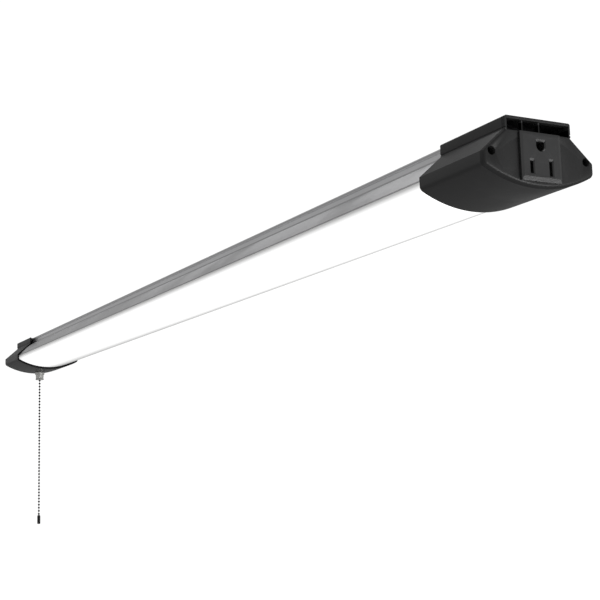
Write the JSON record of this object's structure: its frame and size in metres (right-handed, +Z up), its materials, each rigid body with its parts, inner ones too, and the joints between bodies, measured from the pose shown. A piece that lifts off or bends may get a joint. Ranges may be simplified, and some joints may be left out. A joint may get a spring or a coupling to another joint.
{
  "type": "hanging shop light",
  "caption": "Long slim shop light with a lit diffuser, moulded end caps, an outlet in one end face and a ball-chain pull switch at the other end.",
  "frame": {"origin": "midway between the two hanging holes, on the plane of the caps' top faces", "axes": "+X along the light towards the end with the outlet, +Y across it, +Z up"},
  "size_m": [1.0036, 0.074, 0.2225],
  "materials": {
    "housing": "satin",
    "diffuser": "milky",
    "cap": "fine grain",
    "face": "fine grain",
    "screw": "blackened",
    "steel": "zinc plated",
    "sheet": "zinc plated",
    "board": "white solder mask",
    "circuit": "green solder mask",
    "chip": "phosphor",
    "light_plastic": "moulded",
    "dark_plastic": "moulded",
    "winding": "taped",
    "can": "sleeved",
    "brass": "plain",
    "nickel": "nickel plated",
    "wire_black": "insulation",
    "wire_white": "insulation",
    "wire_green": "insulation",
    "bushing": "moulded"
  },
  "bodies": {
    "light": {"housing": "housing", "diffuser": "diffuser", "led_board_1": "board", "led_board_2": "board", "led_board_3": "board", "led_chips": "chip", "board_screws": "steel", "board_jumpers": "light_plastic", "driver_case": "sheet", "driver_cover": "sheet", "driver_board": "circuit", "driver_transformer": "winding", "driver_capacitors": "can", "driver_terminals": "light_plastic", "driver_screws": "steel", "outlet_cap": "cap", "outlet_cap_screws": "screw", "outlet_face": "face", "outlet_base": "light_plastic", "hot_contact": "brass", "neutral_contact": "brass", "ground_contact": "brass", "outlet_hanger_plate": "sheet", "switch_cap": "cap", "switch_cap_screws": "screw", "switch_hanger_plate": "sheet", "hanger_screws": "steel", "cord_bushing": "bushing", "terminal_block": "light_plastic", "wire_hot": "wire_black", "wire_neutral": "wire_white", "wire_ground": "wire_green", "ground_screw": "steel", "switch_case": "dark_plastic", "switch_lid": "dark_plastic", "neck_bushing": "nickel", "lock_nut": "nickel", "bell_mouth": "nickel", "return_spring": "steel", "switch_contacts": "brass", "lever_pin": "steel", "rotor_pin": "steel"},
    "chain_top": {"pull_pin": "steel", "chain_top_beads": "nickel", "chain_top_links": "nickel"},
    "pull_lever": {"pull_lever": "sheet"},
    "contact_rotor": {"contact_rotor": "light_plastic"},
    "swivel_link_1": {"swivel_link_1": "nickel"},
    "swivel_bead": {"swivel_bead": "nickel"},
    "swivel_link_2": {"swivel_link_2": "nickel"},
    "chain": {"chain_beads": "nickel", "chain_links": "nickel", "chain_end": "nickel"}
  },
  "joints": [
    {"name": "chain_pull", "type": "slide", "parent": "light", "child": "chain_top", "axis": [0, 0, -1], "range_m": [0, 0.008], "stiffness_N_per_m": 400, "springref_m": -0.005, "deforming": ["return_spring"]},
    {"name": "lever_turn", "type": "hinge", "parent": "light", "child": "pull_lever", "pos_m": [-0.463, 0, -0.021], "axis": [0, -1, 0], "range_deg": [0, 35.9]},
    {"name": "rotor_turn", "type": "hinge", "parent": "light", "child": "contact_rotor", "pos_m": [-0.4645, 0, -0.0286], "axis": [0, 1, 0], "continuous": true},
    {"name": "chain_swing_x1", "type": "hinge", "parent": "chain_top", "child": "swivel_link_1", "pos_m": [-0.476, 0, -0.0492], "axis": [1, 0, 0], "range_deg": [-25, 25]},
    {"name": "chain_swing_y1", "type": "hinge", "parent": "swivel_link_1", "child": "swivel_bead", "pos_m": [-0.476, 0, -0.05176], "axis": [0, 1, 0], "range_deg": [-25, 25]},
    {"name": "chain_swing_x2", "type": "hinge", "parent": "swivel_bead", "child": "swivel_link_2", "pos_m": [-0.476, 0, -0.05288], "axis": [1, 0, 0], "range_deg": [-25, 25]},
    {"name": "chain_swing_y2", "type": "hinge", "parent": "swivel_link_2", "child": "chain", "pos_m": [-0.476, 0, -0.05544], "axis": [0, 1, 0], "range_deg": [-25, 25]}
  ],
  "couplings": [
    {"joint": "lever_turn", "follows": "chain_pull", "rad_per_m": 78.19}
  ]
}
